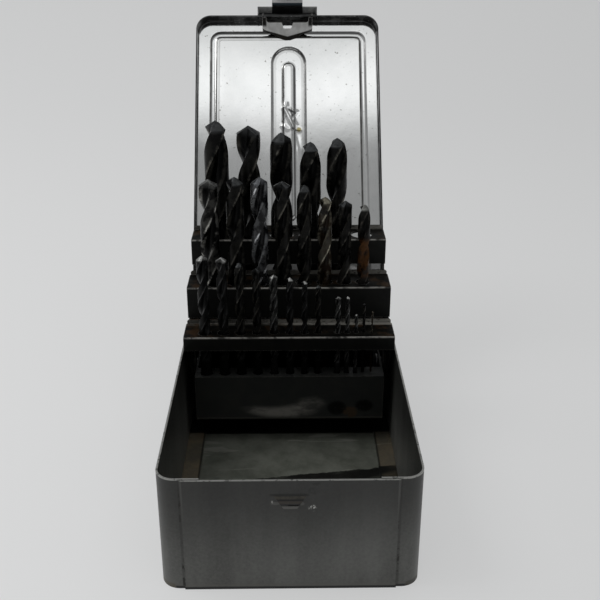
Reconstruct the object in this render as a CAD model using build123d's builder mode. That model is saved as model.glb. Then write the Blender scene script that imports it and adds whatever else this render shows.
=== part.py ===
from build123d import *
import math
import os

os.makedirs("parts", exist_ok=True)

# Terraced drill case: a pressed-steel tray and lid, three stepped racks that
# tip up on two side rivets, and a set of twist drills standing in the racks.
# Origin at the middle of the tray's underside, X across, Y to the back, Z up.

# ---------------------------------------------------------------- sizes, mm
case_width = 112.0
case_length = 176.5
tray_height = 56.3
tray_sheet = 0.8
corner_radius = 9.0
panel_width = 91.0
panel_drop = 0.3
panel_lap = 8.0
flange_reach = 9.0
nose_width = 14.0
nose_height = 5.0
nose_depth = 2.3
nose_middle = 46.0
nose_side_angle = 58.0
nose_front_width = 8.7
nose_front_height = 2.5
nose_slot_width = 4.4
nose_slot_height = 1.1
nose_slot_aside = 1.2
nose_slot_drop = 0.5

lid_depth = 7.0
lid_open = 123.8
lid_bend = 1.2
rim_gap = 0.3
bead_inset = 10.0
bead_width = 3.0
bead_rise = 0.6
bead_corner = 5.5
rib_width = 19.0
rib_length = 118.0
rib_inner_width = 6.6
rib_end_inset = 20.0

knuckle_radius = 2.0
hinge_pin_radius = 1.0
running_gap = 0.05
knuckle_gap = 0.4
hinge_gap = 0.3
knuckle_length = 16.0
lid_knuckle_length = 20.2
leaf_depth = 10.0

# The racks are placed from the pivot, and the pivot from the back of the tray.
pivot_ahead_of_back = 34.2
pivot_up = 35.7
pivot_radius = 2.5
pivot_head_radius = 5.0
pivot_head_height = 1.4
head_shoulder_share = 0.9
head_crown_share = 0.6
side_gap = 0.45
head_gap = 0.3

rack_sheet = 1.0
rack_hole_gap = 0.45
front_face_ahead = 28.3
front_tread_up = 64.7
step_run = 18.5
step_rise = 20.0
front_face_height = 7.6
middle_face_height = 17.2
back_face_height = 14.0
front_tread_depth = 18.5
middle_tread_depth = 19.8
back_tread_depth = 17.5
tread_corner = 2.5
lip_height = 2.2
lip_corner = 2.0
back_arm_gap = 0.55
lock_behind = 9.7
lock_below = 8.7
lock_radius = 2.0
lock_head_radius = 3.6
lock_head_height = 1.2
lock_collar_radius = 4.0
arm_round = 7.0
arm_inset = 5.0
rack_bend = 1.2

trough_arm_gap = 1.2
trough_depth = 52.0
trough_up = 14.3
trough_panel_height = 26.8
trough_bend = 2.5
trough_ledge = 10.5
trough_back_height = 16.0

front_ramp_width = 5.0
front_ramp_low = 16.4
front_ramp_high = 29.0
middle_ramp_width = 11.0
middle_ramp_low = 16.4
middle_ramp_high = 27.5

front_row_inset = 6.0
middle_row_inset = 7.8
back_row_inset = 8.2
rest_gap = 0.3

# Each drill: name, diameter, place across the rack, height of its point.
# The places are for a trough this wide inside, and spread or close up with it.
row_span = 98.0
front_drills = [
    ("drill_6_0mm", 6.0, -43.9, 108.0),
    ("drill_5_5mm", 5.5, -34.2, 107.0),
    ("drill_5_0mm", 5.0, -25.4, 104.0),
    ("drill_4_5mm", 4.5, -16.6, 101.0),
    ("drill_4_2mm", 4.2, -7.9, 97.4),
    ("drill_4_0mm", 4.0, 0.4, 95.8),
    ("drill_3_5mm", 3.5, 8.0, 93.8),
    ("drill_3_3mm", 3.3, 15.0, 91.5),
    ("drill_3_0mm", 3.0, 25.4, 85.0),
    ("drill_2_5mm", 2.5, 30.3, 85.0),
    ("drill_2_0mm", 2.0, 34.9, 75.0),
    ("drill_1_5mm", 1.5, 38.9, 81.0),
    ("drill_1_0mm", 1.0, 43.2, 76.5),
]
middle_drills = [
    ("drill_10_0mm", 10.0, -41.0, 141.7),
    ("drill_9_5mm", 9.5, -27.6, 142.8),
    ("drill_9_0mm", 9.0, -15.0, 142.8),
    ("drill_8_5mm", 8.5, -3.3, 140.6),
    ("drill_8_0mm", 8.0, 8.1, 138.5),
    ("drill_7_5mm", 7.5, 18.9, 132.0),
    ("drill_7_0mm", 7.0, 29.4, 130.0),
    ("drill_6_5mm", 6.5, 39.3, 127.8),
]
back_drills = [
    ("drill_13_0mm", 13.0, -37.7, 167.4),
    ("drill_12_5mm", 12.5, -20.7, 164.7),
    ("drill_12_0mm", 12.0, -3.7, 161.0),
    ("drill_11_5mm", 11.5, 11.6, 156.0),
    ("drill_11_0mm", 11.0, 25.6, 158.0),
]
empty_socket = (10.5, 39.6)
ledge_drills = 2
flute_share = 0.66
helix_angle = 28.0
point_angle = 118.0
chisel_share = 0.12
shank_chamfer_share = 0.12
steps_per_turn = 12
section_points = ((-38, 1.0), (0, 1.0), (38, 1.0), (90, 0.32))

# The latch swings on a pin just outside the lid, this far past its closed place.
latch_open = 35.0
latch_half = 18.35
latch_slot_gap = 0.4
latch_slot_height = 5.9
latch_pin_radius = 0.8
latch_pin_out = 1.6
latch_pin_in = 3.2
latch_ear_radius = 1.3
latch_plate_out = 3.6
latch_plate_rise = 1.8
latch_shoulder_drop = 1.4
latch_bend = 1.0
strap_out = 1.3
strap_width = 18.7
crank_height = 2.0
strap_run = 2.2
bulge_out = 4.0
bulge_rise = 1.8
hook_gap = 0.5
hook_run = 1.3
tab_flare = 2.4
tab_length = 5.0
tab_corner = 2.0
cheek_reach = 3.6
cheek_half_height = 0.8
bracket_half = 15.4
bracket_front = 3.8
bracket_length = 13.6
bracket_shoulder = 3.2
bracket_notch = 7.0
bracket_notch_end = 4.6
bracket_notch_depth = 3.2
bracket_rise = 2.2
bracket_horn = 2.4
bracket_horn_bend = 1.6
bracket_foot = 2.4

# ------------------------------------------------------- places worked out
front_y = -case_length / 2
back_y = case_length / 2
half_width = case_width / 2
inner_half = half_width - tray_sheet
wrap_radius = corner_radius - tray_sheet
seam_x = panel_width / 2
floor_top = tray_sheet

hinge_y = back_y + knuckle_radius + hinge_gap
hinge_z = tray_height + rim_gap / 2
pivot_y = back_y - pivot_ahead_of_back
pivot_z = pivot_up
lock_y = pivot_y + lock_behind
lock_z = pivot_z - lock_below
front_face_y = pivot_y - front_face_ahead
middle_face_y = front_face_y + step_run
back_face_y = middle_face_y + step_run
front_row_y = front_face_y + front_row_inset
middle_row_y = middle_face_y + middle_row_inset
back_row_y = back_face_y + back_row_inset

front_arm_x = inner_half - side_gap
middle_arm_x = front_arm_x - rack_sheet
back_arm_x = middle_arm_x - rack_sheet - back_arm_gap
trough_end_x = back_arm_x - rack_sheet - trough_arm_gap
trough_inner_x = trough_end_x - rack_sheet
row_spread = 2 * trough_inner_x / row_span

lid_plane = Plane(
    origin=(0, hinge_y, hinge_z),
    x_dir=(1, 0, 0),
    z_dir=(0, math.sin(math.radians(lid_open)), math.cos(math.radians(lid_open))),
)
lid_side_plane = Plane(
    origin=lid_plane.origin, x_dir=lid_plane.y_dir, z_dir=lid_plane.x_dir
)
lid_rim_z = rim_gap / 2
lid_top_z = lid_rim_z + lid_depth
lid_middle_y = -case_length / 2 - knuckle_radius - hinge_gap
lid_front_y = lid_middle_y - case_length / 2

latch_slot_width = 2 * (latch_half + latch_slot_gap)
latch_pin_y = lid_front_y - latch_pin_out
latch_pin_z = latch_pin_in
latch_pin_place = (
    lid_plane.origin + lid_plane.y_dir * latch_pin_y + lid_plane.z_dir * latch_pin_z
)
# Two planes through the latch pin that turn with the lever: from its side and its face.
latch_out = lid_plane.z_dir * math.sin(math.radians(latch_open)) - lid_plane.y_dir * math.cos(
    math.radians(latch_open)
)
lever_side_plane = Plane(origin=latch_pin_place, x_dir=latch_out, z_dir=(-1, 0, 0))
lever_face_plane = Plane(origin=latch_pin_place, x_dir=(1, 0, 0), z_dir=latch_out)

# The lever's profile, out from the pin and up from it, as it is when closed.
plate_x = latch_plate_out - latch_pin_out
strap_x = strap_out - latch_pin_out
bulge_x = bulge_out - latch_pin_out
nose_x = nose_depth - latch_pin_out
shoulder_h = -latch_pin_in - latch_shoulder_drop
crank_low_h = shoulder_h - crank_height
strap_low_h = crank_low_h - strap_run
bulge_top_h = strap_low_h - bulge_rise
nose_low_h = nose_middle - nose_height / 2 - hinge_z - latch_pin_z
hook_slope = math.atan2(bulge_rise, bulge_x - strap_x)
hook_drop = (hook_gap + tray_sheet / 2) / math.cos(hook_slope)
bulge_low_h = nose_low_h - hook_drop + bulge_rise * (bulge_x - nose_x) / (bulge_x - strap_x)
hook_h = bulge_low_h - bulge_rise
tab_top_h = hook_h - hook_run
tab_low_h = tab_top_h - tab_length

panel_inner_z = lid_top_z - tray_sheet
bracket_front_y = lid_front_y + bracket_front
bracket_back_y = lid_front_y + bracket_length
bracket_slope = (panel_inner_z - bracket_rise) / (bracket_length - bracket_front)
bracket_tip_y = bracket_back_y + tray_sheet
horn_end_y = lid_front_y + tray_sheet
horn_end_z = bracket_rise - bracket_slope * (bracket_front_y - horn_end_y)


# -------------------------------------------------------------------- tray
with BuildPart() as tray_side_right:
    with BuildSketch():
        RectangleRounded(case_width, case_length - 2 * tray_sheet, wrap_radius)
        RectangleRounded(
            case_width - 2 * tray_sheet,
            case_length - 4 * tray_sheet,
            wrap_radius - tray_sheet,
            mode=Mode.SUBTRACT,
        )
        with Locations((seam_x - panel_lap, 0)):
            Rectangle(
                case_width, case_length, align=(Align.MIN, Align.CENTER), mode=Mode.INTERSECT
            )
    extrude(amount=tray_height)
    with BuildSketch(Plane.XY.offset(floor_top)):
        RectangleRounded(
            case_width - tray_sheet,
            case_length - 3 * tray_sheet,
            wrap_radius - tray_sheet / 2,
        )
        with Locations((inner_half - flange_reach, 0)):
            Rectangle(
                case_width, case_length, align=(Align.MIN, Align.CENTER), mode=Mode.INTERSECT
            )
    extrude(amount=tray_sheet)
    # The wrapped ends stop above the centre sheet, which runs out below them.
    with BuildSketch():
        Rectangle(panel_width, case_length)
    extrude(amount=floor_top, mode=Mode.SUBTRACT)
    with BuildSketch(Plane.YZ):
        with Locations((pivot_y, pivot_z)):
            Circle(pivot_radius + running_gap)
    extrude(amount=case_width, mode=Mode.SUBTRACT)
tray_side_right.part.label = "tray_side_right"
export_step(tray_side_right.part, "parts/tray_side_right.step")

with BuildPart() as tray_side_left:
    mirror(tray_side_right.part, about=Plane.YZ)
tray_side_left.part.label = "tray_side_left"
export_step(tray_side_left.part, "parts/tray_side_left.step")

with BuildPart() as tray_centre:
    with BuildSketch(Plane.YZ):
        with Locations((0, (tray_height - panel_drop) / 2)):
            Rectangle(case_length, tray_height - panel_drop)
        with Locations((0, tray_height / 2 + floor_top)):
            Rectangle(case_length - 2 * tray_sheet, tray_height, mode=Mode.SUBTRACT)
    extrude(amount=seam_x, both=True)
    with BuildSketch():
        RectangleRounded(
            case_width - 2 * tray_sheet,
            case_length - 4 * tray_sheet,
            wrap_radius - tray_sheet,
        )
    extrude(amount=floor_top)
    # The latch nose is pressed out of the panel: a slope above a flat ledge,
    # wide at the top, hollow behind, with a slit across it.
    for depth, shell, mode in ((0, 0, Mode.ADD), (-tray_sheet, tray_sheet, Mode.SUBTRACT)):
        with BuildSketch(Plane.XZ.offset(-front_y + depth)):
            with Locations((0, nose_middle)):
                Trapezoid(
                    nose_width - 2 * shell, nose_height - shell, nose_side_angle, rotation=180
                )
        with BuildSketch(Plane.XZ.offset(-front_y + nose_depth - shell)):
            with Locations((0, nose_middle - (nose_height - nose_front_height) / 2)):
                Trapezoid(
                    nose_front_width - shell,
                    nose_front_height - shell,
                    nose_side_angle,
                    rotation=180,
                )
        loft(mode=mode)
    with BuildSketch(Plane.XZ.offset(-front_y - tray_sheet)):
        with Locations((nose_slot_aside, nose_middle - nose_slot_drop)):
            Rectangle(nose_slot_width, nose_slot_height)
    extrude(amount=nose_depth + tray_sheet, mode=Mode.SUBTRACT)
tray_centre.part.label = "tray_centre"
export_step(tray_centre.part, "parts/tray_centre.step")


# ------------------------------------------------------------------- hinge
hinge_half = knuckle_length * 1.5 + lid_knuckle_length + 2 * knuckle_gap
base_knuckles = [
    (-hinge_half, -hinge_half + knuckle_length),
    (-knuckle_length / 2, knuckle_length / 2),
    (hinge_half - knuckle_length, hinge_half),
]
lid_knuckles = [
    (-knuckle_length / 2 - knuckle_gap - lid_knuckle_length, -knuckle_length / 2 - knuckle_gap),
    (knuckle_length / 2 + knuckle_gap, knuckle_length / 2 + knuckle_gap + lid_knuckle_length),
]
plate_y = -(knuckle_radius + hinge_gap)
clear_z = knuckle_radius + knuckle_gap
base_hinge_plane = Plane(origin=(0, hinge_y, hinge_z), x_dir=(0, 1, 0), z_dir=(1, 0, 0))

with BuildPart() as hinge_base_leaf:
    with BuildSketch(base_hinge_plane):
        with Locations((plate_y, -hinge_gap)):
            Rectangle(tray_sheet, leaf_depth, align=(Align.MIN, Align.MAX))
    extrude(amount=hinge_half, both=True)
    for low_x, high_x in base_knuckles:
        with BuildSketch(base_hinge_plane.offset(low_x)):
            Circle(knuckle_radius)
        extrude(amount=high_x - low_x)
    with BuildSketch(base_hinge_plane.offset(-hinge_half)):
        Circle(hinge_pin_radius + running_gap)
    extrude(amount=2 * hinge_half, mode=Mode.SUBTRACT)
    for low_x, high_x in lid_knuckles:
        with BuildSketch(base_hinge_plane.offset(low_x - knuckle_gap)):
            with Locations((plate_y, -clear_z)):
                Rectangle(2 * knuckle_radius, 2 * clear_z, align=(Align.MIN, Align.MIN))
        extrude(amount=high_x - low_x + 2 * knuckle_gap, mode=Mode.SUBTRACT)
hinge_base_leaf.part.label = "hinge_base_leaf"
export_step(hinge_base_leaf.part, "parts/hinge_base_leaf.step")

with BuildPart() as hinge_lid_leaf:
    with BuildSketch(lid_side_plane):
        with Locations((plate_y, hinge_gap)):
            Rectangle(tray_sheet, lid_depth - 2 * hinge_gap, align=(Align.MIN, Align.MIN))
    extrude(amount=hinge_half, both=True)
    for low_x, high_x in lid_knuckles:
        with BuildSketch(lid_side_plane.offset(low_x)):
            Circle(knuckle_radius)
        extrude(amount=high_x - low_x)
    with BuildSketch(lid_side_plane.offset(-hinge_half)):
        Circle(hinge_pin_radius + running_gap)
    extrude(amount=2 * hinge_half, mode=Mode.SUBTRACT)
    for low_x, high_x in base_knuckles:
        with BuildSketch(lid_side_plane.offset(low_x - knuckle_gap)):
            with Locations((plate_y, clear_z)):
                Rectangle(2 * knuckle_radius, 2 * clear_z, align=(Align.MIN, Align.MAX))
        extrude(amount=high_x - low_x + 2 * knuckle_gap, mode=Mode.SUBTRACT)
hinge_lid_leaf.part.label = "hinge_lid_leaf"
export_step(hinge_lid_leaf.part, "parts/hinge_lid_leaf.step")

with BuildPart() as hinge_pin:
    with BuildSketch(base_hinge_plane.offset(-hinge_half - tray_sheet)):
        Circle(hinge_pin_radius)
    extrude(amount=2 * (hinge_half + tray_sheet))
    for head_x in (-hinge_half - tray_sheet, hinge_half):
        with BuildSketch(base_hinge_plane.offset(head_x)):
            Circle(knuckle_radius - running_gap)
        extrude(amount=tray_sheet)
hinge_pin.part.label = "hinge_pin"
export_step(hinge_pin.part, "parts/hinge_pin.step")


# --------------------------------------------------------------------- lid
with BuildPart() as lid_shell:
    with BuildSketch(lid_plane.offset(lid_rim_z)):
        with Locations((0, lid_middle_y)):
            RectangleRounded(case_width, case_length, corner_radius)
    extrude(amount=lid_depth)
    top_edges = lid_shell.faces().sort_by(Axis(lid_plane.origin, lid_plane.z_dir))[-1].edges()
    fillet(top_edges, radius=lid_bend)
    with BuildSketch(lid_plane.offset(lid_rim_z)):
        with Locations((0, lid_middle_y)):
            RectangleRounded(
                case_width - 2 * tray_sheet, case_length - 2 * tray_sheet, corner_radius - tray_sheet
            )
    extrude(amount=lid_depth - tray_sheet, mode=Mode.SUBTRACT)
    # A pressed bead runs round the panel, raised outside and hollow inside.
    for height, spare, mode in (
        (lid_top_z, 0, Mode.ADD),
        (lid_top_z - tray_sheet, tray_sheet / 2, Mode.SUBTRACT),
    ):
        with BuildSketch(lid_plane.offset(height)):
            with Locations((0, lid_middle_y)):
                RectangleRounded(
                    case_width - 2 * (bead_inset + spare),
                    case_length - 2 * (bead_inset + spare),
                    bead_corner - spare,
                )
                RectangleRounded(
                    case_width - 2 * (bead_inset + bead_width - spare),
                    case_length - 2 * (bead_inset + bead_width - spare),
                    bead_corner - bead_width + spare,
                    mode=Mode.SUBTRACT,
                )
        extrude(amount=bead_rise, mode=mode)
    # A long round-ended rib stiffens the middle, with a narrow one inside it.
    for height, spare, mode in (
        (lid_top_z, 0, Mode.ADD),
        (lid_top_z - tray_sheet, tray_sheet / 2, Mode.SUBTRACT),
    ):
        with BuildSketch(lid_plane.offset(height)):
            with Locations((0, lid_front_y + rib_end_inset + rib_length / 2)):
                SlotOverall(rib_length - 2 * spare, rib_width - 2 * spare, rotation=90)
        extrude(amount=bead_rise, mode=mode)
    for height, spare, mode in (
        (lid_top_z + bead_rise, 0, Mode.ADD),
        (lid_top_z + bead_rise - tray_sheet, tray_sheet / 2, Mode.SUBTRACT),
    ):
        with BuildSketch(lid_plane.offset(height)):
            with Locations((0, lid_front_y + rib_end_inset + rib_length / 2)):
                SlotOverall(rib_length - rib_width, rib_inner_width - 2 * spare, rotation=90)
        extrude(amount=bead_rise, mode=mode)
    # The front flange is cut away where the latch swings through it.
    with BuildSketch(lid_plane.offset(lid_rim_z)):
        with Locations((0, lid_front_y)):
            Rectangle(latch_slot_width, 4 * tray_sheet)
    extrude(amount=latch_slot_height, mode=Mode.SUBTRACT)
lid_shell.part.label = "lid_shell"
export_step(lid_shell.part, "parts/lid_shell.step")


# ------------------------------------------------------------------- latch
# A pressed plate inside the lid carries the pin. Its tip is welded to the panel.
with BuildPart() as latch_bracket:
    with BuildSketch(lid_side_plane):
        with BuildLine():
            Polyline(
                (horn_end_y, horn_end_z),
                (bracket_back_y, panel_inner_z),
                (bracket_back_y - bracket_foot, panel_inner_z),
                (horn_end_y, horn_end_z + tray_sheet),
                close=True,
            )
        make_face()
    extrude(amount=bracket_half, both=True)
    with BuildSketch(lid_plane) as bracket_outline:
        with BuildLine():
            Polyline(
                (-bracket_half, horn_end_y),
                (-bracket_half, bracket_front_y + bracket_shoulder),
                (0, bracket_tip_y),
                (bracket_half, bracket_front_y + bracket_shoulder),
                (bracket_half, horn_end_y),
                (bracket_half - bracket_horn, horn_end_y),
                (bracket_half - bracket_horn, bracket_front_y),
                (bracket_notch / 2, bracket_front_y),
                (bracket_notch_end / 2, bracket_front_y + bracket_notch_depth),
                (-bracket_notch_end / 2, bracket_front_y + bracket_notch_depth),
                (-bracket_notch / 2, bracket_front_y),
                (bracket_horn - bracket_half, bracket_front_y),
                (bracket_horn - bracket_half, horn_end_y),
                close=True,
            )
        make_face()
        horn_roots = [
            corner
            for corner in bracket_outline.vertices()
            if abs(abs(corner.X) - bracket_half + bracket_horn) < tray_sheet / 2
            and abs(corner.Y - bracket_front_y) < tray_sheet / 2
        ]
        fillet(horn_roots, bracket_horn_bend)
    extrude(amount=lid_top_z, mode=Mode.INTERSECT)
    shoulder_z = bracket_rise + bracket_slope * bracket_shoulder
    for ear_x in (-bracket_half, bracket_half - tray_sheet):
        with BuildSketch(lid_side_plane.offset(ear_x)):
            with BuildLine():
                Polyline(
                    (bracket_front_y + bracket_shoulder, shoulder_z),
                    (horn_end_y, horn_end_z),
                    (latch_pin_y, latch_pin_z - latch_ear_radius),
                    (latch_pin_y, latch_pin_z + latch_ear_radius),
                    (bracket_front_y, latch_pin_z + latch_ear_radius),
                    close=True,
                )
            make_face()
            with Locations((latch_pin_y, latch_pin_z)):
                Circle(latch_ear_radius)
        extrude(amount=tray_sheet)
    with BuildSketch(lid_side_plane.offset(-bracket_half)):
        with Locations((latch_pin_y, latch_pin_z)):
            Circle(latch_pin_radius + running_gap)
    extrude(amount=2 * bracket_half, mode=Mode.SUBTRACT)
latch_bracket.part.label = "latch_bracket"
export_step(latch_bracket.part, "parts/latch_bracket.step")

with BuildPart() as latch_pin:
    with BuildSketch(lid_side_plane.offset(-latch_half)):
        with Locations((latch_pin_y, latch_pin_z)):
            Circle(latch_pin_radius)
    extrude(amount=2 * latch_half)
latch_pin.part.label = "latch_pin"
export_step(latch_pin.part, "parts/latch_pin.step")

# The lever's strap bulges over the nose on the tray and hooks in under it.
with BuildPart() as latch_lever:
    with BuildSketch(lever_side_plane):
        with BuildLine():
            FilletPolyline(
                (plate_x, latch_plate_rise),
                (plate_x, shoulder_h),
                (strap_x, crank_low_h),
                (strap_x, strap_low_h),
                (bulge_x, bulge_top_h),
                (bulge_x, bulge_low_h),
                (strap_x, hook_h),
                (strap_x, tab_top_h),
                (strap_x + tab_flare, tab_low_h),
                radius=latch_bend,
            )
        trace(line_width=tray_sheet)
    extrude(amount=latch_half, both=True)
    with BuildSketch(lever_face_plane.offset(-latch_plate_out)) as lever_outline:
        with Locations((0, tab_low_h - tray_sheet)):
            Rectangle(strap_width, -tab_low_h, align=(Align.CENTER, Align.MIN))
        fillet(lever_outline.vertices().group_by(Axis.Y)[0], tab_corner)
        with Locations((0, shoulder_h)):
            Rectangle(
                2 * latch_half, latch_plate_rise - shoulder_h, align=(Align.CENTER, Align.MIN)
            )
    extrude(amount=2 * (latch_plate_out + tab_flare), mode=Mode.INTERSECT)
    for cheek_x in (-latch_half, latch_half - tray_sheet):
        with BuildSketch(lever_side_plane.offset(cheek_x)):
            with BuildLine():
                Polyline(
                    (plate_x, latch_plate_rise),
                    (plate_x, shoulder_h),
                    (0, -latch_ear_radius),
                    (-cheek_reach, -cheek_half_height),
                    (-cheek_reach, cheek_half_height),
                    (0, latch_ear_radius),
                    close=True,
                )
            make_face()
        extrude(amount=tray_sheet)
    with BuildSketch(lever_side_plane.offset(-latch_half)):
        Circle(latch_pin_radius + running_gap)
    extrude(amount=2 * latch_half, mode=Mode.SUBTRACT)
latch_lever.part.label = "latch_lever"
export_step(latch_lever.part, "parts/latch_lever.step")


# ------------------------------------------------------------------- racks
def make_rack(arm_x, face_y, tread_up, face_height, depth, row_y, holes):
    """A folded strip: front face, drilled tread, rear lip, and an arm at each end."""
    half_sheet = rack_sheet / 2
    lip_y = face_y + depth
    lip_up = tread_up + lip_height
    with BuildPart() as rack:
        with BuildSketch(Plane.YZ):
            with BuildLine():
                FilletPolyline(
                    (face_y + half_sheet, tread_up - face_height),
                    (face_y + half_sheet, tread_up - half_sheet),
                    (lip_y - half_sheet, tread_up - half_sheet),
                    (lip_y - half_sheet, lip_up),
                    radius=rack_bend - half_sheet,
                )
            trace(line_width=rack_sheet)
        extrude(amount=arm_x, both=True)
        with BuildSketch(Plane.XY.offset(tread_up - face_height)) as plan:
            with Locations((0, face_y)):
                Rectangle(2 * arm_x, depth, align=(Align.CENTER, Align.MIN))
            fillet(plan.vertices().group_by(Axis.Y)[-1], tread_corner)
        extrude(amount=face_height + lip_height, mode=Mode.INTERSECT)
        with BuildSketch(Plane.XZ.offset(-lip_y)) as front_view:
            with Locations((0, tread_up - face_height)):
                Rectangle(2 * arm_x, face_height + lip_height, align=(Align.CENTER, Align.MIN))
            fillet(front_view.vertices().group_by(Axis.Y)[-1], lip_corner)
        extrude(amount=depth, mode=Mode.INTERSECT)
        with BuildSketch(Plane.YZ.offset(arm_x - rack_sheet)) as arm:
            with BuildLine():
                Line(
                    (face_y + arm_inset, tread_up - face_height),
                    (lip_y - tread_corner, tread_up - face_height),
                )
                CenterArc((pivot_y, pivot_z), arm_round, 0, 360)
                CenterArc((lock_y, lock_z), arm_round, 0, 360)
            make_hull()
            with Locations((face_y, tread_up)):
                Rectangle(depth - tread_corner, face_height, align=(Align.MIN, Align.MAX))
            shoulder = arm.vertices().group_by(Axis.Y)[-1].sort_by(Axis.X)[0]
            fillet(shoulder, rack_bend)
        extrude(amount=rack_sheet)
        mirror(about=Plane.YZ)
        with BuildSketch(Plane.XY.offset(tread_up)):
            for hole_x, hole_radius in holes:
                with Locations((hole_x, row_y)):
                    Circle(hole_radius + rack_hole_gap)
        extrude(amount=-rack_sheet, mode=Mode.SUBTRACT)
        with BuildSketch(Plane.YZ.offset(-arm_x)):
            with Locations((pivot_y, pivot_z)):
                Circle(pivot_radius + running_gap)
            with Locations((lock_y, lock_z)):
                Circle(lock_radius + running_gap)
        extrude(amount=2 * arm_x, mode=Mode.SUBTRACT)
    return rack.part


def sockets(drills):
    """Place and radius of each hole in a row."""
    return [(place * row_spread, diameter / 2) for _, diameter, place, _ in drills]


rack_front = make_rack(
    front_arm_x,
    front_face_y,
    front_tread_up,
    front_face_height,
    front_tread_depth,
    front_row_y,
    sockets(front_drills),
)
rack_front.label = "rack_front"
export_step(rack_front, "parts/rack_front.step")

rack_middle = make_rack(
    middle_arm_x,
    middle_face_y,
    front_tread_up + step_rise,
    middle_face_height,
    middle_tread_depth,
    middle_row_y,
    sockets(middle_drills),
)
rack_middle.label = "rack_middle"
export_step(rack_middle, "parts/rack_middle.step")

rack_back = make_rack(
    back_arm_x,
    back_face_y,
    front_tread_up + 2 * step_rise,
    back_face_height,
    back_tread_depth,
    back_row_y,
    sockets(back_drills) + [(empty_socket[1] * row_spread, empty_socket[0] / 2)],
)
rack_back.label = "rack_back"
export_step(rack_back, "parts/rack_back.step")


# --------------------------------------------------- trough and stop ramps
trough_front_y = front_face_y + rack_sheet
trough_back_y = trough_front_y + trough_depth
trough_floor_z = trough_up + rack_sheet
ledge_z = trough_up + trough_panel_height

with BuildPart() as shank_trough:
    with BuildSketch(Plane.YZ) as trough_outline:
        with BuildLine():
            Polyline(
                (trough_front_y, trough_up),
                (trough_back_y, trough_up),
                (trough_back_y, trough_up + trough_back_height),
                (pivot_y + arm_round, ledge_z),
                (trough_front_y, ledge_z),
                close=True,
            )
        make_face()
        fillet(trough_outline.vertices().group_by(Axis.Y)[0], trough_bend)
    extrude(amount=trough_end_x, both=True)
    with BuildSketch(Plane.YZ) as trough_hollow:
        with BuildLine():
            Polyline(
                (trough_front_y + rack_sheet, trough_floor_z),
                (trough_back_y - rack_sheet, trough_floor_z),
                (trough_back_y - rack_sheet, ledge_z + rack_sheet),
                (trough_front_y + trough_ledge, ledge_z + rack_sheet),
                (trough_front_y + trough_ledge, ledge_z - rack_sheet),
                (trough_front_y + rack_sheet, ledge_z - rack_sheet),
                close=True,
            )
        make_face()
        fillet(trough_hollow.vertices().group_by(Axis.Y)[0], trough_bend - rack_sheet)
    extrude(amount=trough_inner_x, both=True, mode=Mode.SUBTRACT)
    with BuildSketch(Plane.XY.offset(ledge_z)):
        for _, diameter, place, _ in front_drills[:-ledge_drills]:
            with Locations((place * row_spread, front_row_y)):
                Circle(diameter / 2 + rack_hole_gap)
    extrude(amount=-rack_sheet, mode=Mode.SUBTRACT)
    with BuildSketch(Plane.YZ.offset(-trough_end_x)):
        with Locations((pivot_y, pivot_z)):
            Circle(pivot_radius + running_gap)
        with Locations((lock_y, lock_z)):
            Circle(lock_radius + running_gap)
    extrude(amount=2 * trough_end_x, mode=Mode.SUBTRACT)
shank_trough.part.label = "shank_trough"
export_step(shank_trough.part, "parts/shank_trough.step")


def ramp_height(place, low, high):
    """Top of a stop ramp at a place across the trough."""
    return low + (high - low) * (place + trough_inner_x) / (2 * trough_inner_x)


def make_ramp(row_y, width, low, high):
    """A strip that slopes up across the trough and stands on a folded leg."""
    with BuildPart() as ramp:
        with BuildSketch(Plane.XZ.offset(-row_y - width / 2)):
            with BuildLine():
                Polyline(
                    (-trough_inner_x, low - rack_sheet),
                    (-trough_inner_x, low),
                    (trough_inner_x, high),
                    (trough_inner_x, trough_floor_z),
                    (trough_inner_x - rack_sheet, trough_floor_z),
                    (trough_inner_x - rack_sheet, high - 2 * rack_sheet),
                    close=True,
                )
            make_face()
        extrude(amount=width)
    return ramp.part


stop_ramp_front = make_ramp(front_row_y, front_ramp_width, front_ramp_low, front_ramp_high)
stop_ramp_front.label = "stop_ramp_front"
export_step(stop_ramp_front, "parts/stop_ramp_front.step")

stop_ramp_middle = make_ramp(middle_row_y, middle_ramp_width, middle_ramp_low, middle_ramp_high)
stop_ramp_middle.label = "stop_ramp_middle"
export_step(stop_ramp_middle, "parts/stop_ramp_middle.step")


# ------------------------------------------------------------------ rivets
with BuildPart() as pivot_rivets:
    with BuildSketch(Plane.XY):
        with BuildLine():
            Polyline(
                (trough_inner_x - head_gap - pivot_head_height, 0),
                (trough_inner_x - head_gap - pivot_head_height, pivot_head_radius * head_crown_share),
                (trough_inner_x - head_gap - pivot_head_height / 2, pivot_head_radius * head_shoulder_share),
                (trough_inner_x - head_gap, pivot_head_radius * head_shoulder_share),
                (trough_inner_x - head_gap, pivot_radius),
                (half_width, pivot_radius),
                (half_width, pivot_head_radius),
                (half_width + pivot_head_height / 2, pivot_head_radius * head_shoulder_share),
                (half_width + pivot_head_height, pivot_head_radius * head_crown_share),
                (half_width + pivot_head_height, 0),
                close=True,
            )
        make_face()
    revolve(axis=Axis.X)
    pivot_shape = pivot_rivets.part
with BuildPart() as pivot_pair:
    with Locations((0, pivot_y, pivot_z)):
        add(pivot_shape)
    mirror(about=Plane.YZ)
pivot_pair.part.label = "pivot_rivets"
export_step(pivot_pair.part, "parts/pivot_rivets.step")

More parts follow.
